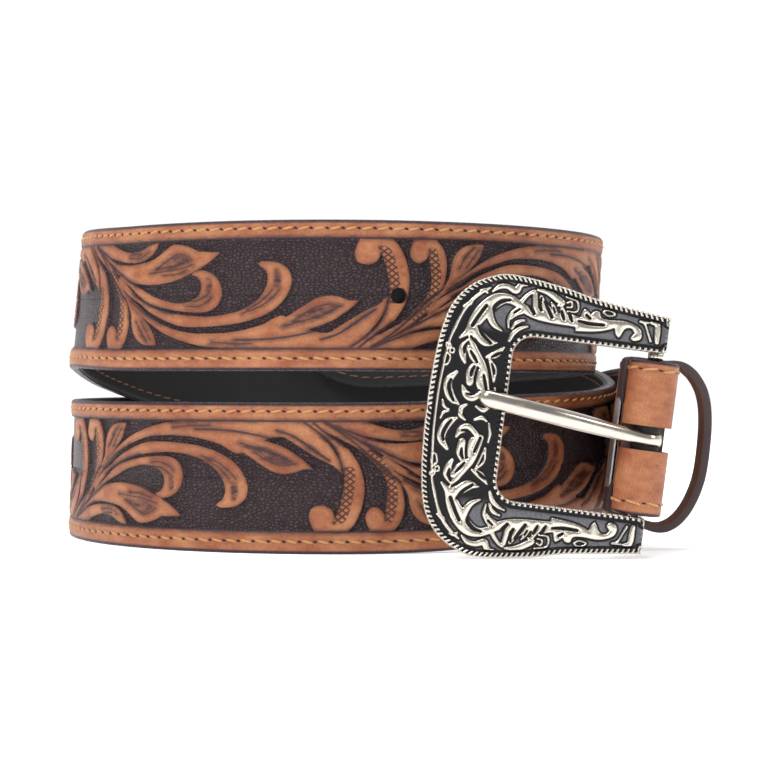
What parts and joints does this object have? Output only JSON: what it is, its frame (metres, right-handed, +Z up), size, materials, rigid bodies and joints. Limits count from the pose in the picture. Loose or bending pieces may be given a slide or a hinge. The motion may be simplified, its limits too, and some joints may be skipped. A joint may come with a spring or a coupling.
{
  "type": "western tooled leather belt",
  "caption": "Rolled-up tooled leather belt with a tan border, dark carved panel, keeper loop and engraved antique silver buckle on a hinged bar.",
  "frame": {"origin": "middle of the footprint, on the surface that the rolled belt stands on", "axes": "+Z up across the strap's width, -Y towards the viewer and the buckle, +X to the viewer's right"},
  "size_m": [0.1748, 0.1764, 0.0848],
  "materials": {
    "tooled_leather": "satin",
    "lining_leather": "matte",
    "keeper_leather": "matte",
    "plate_steel": "satin",
    "antique_silver": "polished",
    "bright_nickel": "polished"
  },
  "bodies": {
    "strap": {"strap_leather": "tooled_leather", "strap_lining": "lining_leather", "keeper_loop": "keeper_leather", "keeper_plate": "plate_steel"},
    "buckle": {"buckle_frame": "antique_silver", "buckle_bar": "bright_nickel"},
    "prong": {"prong": "bright_nickel"}
  },
  "joints": [
    {"name": "buckle_swing", "type": "hinge", "parent": "strap", "child": "buckle", "pos_m": [0.06674, -0.07744, 0.0295], "axis": [0.1271, 0, 0.9919], "range_deg": [0, 110]},
    {"name": "prong_swing", "type": "hinge", "parent": "buckle", "child": "prong", "pos_m": [0.06674, -0.07744, 0.0295], "axis": [0.1271, 0, 0.9919], "range_deg": [0, 60]}
  ]
}
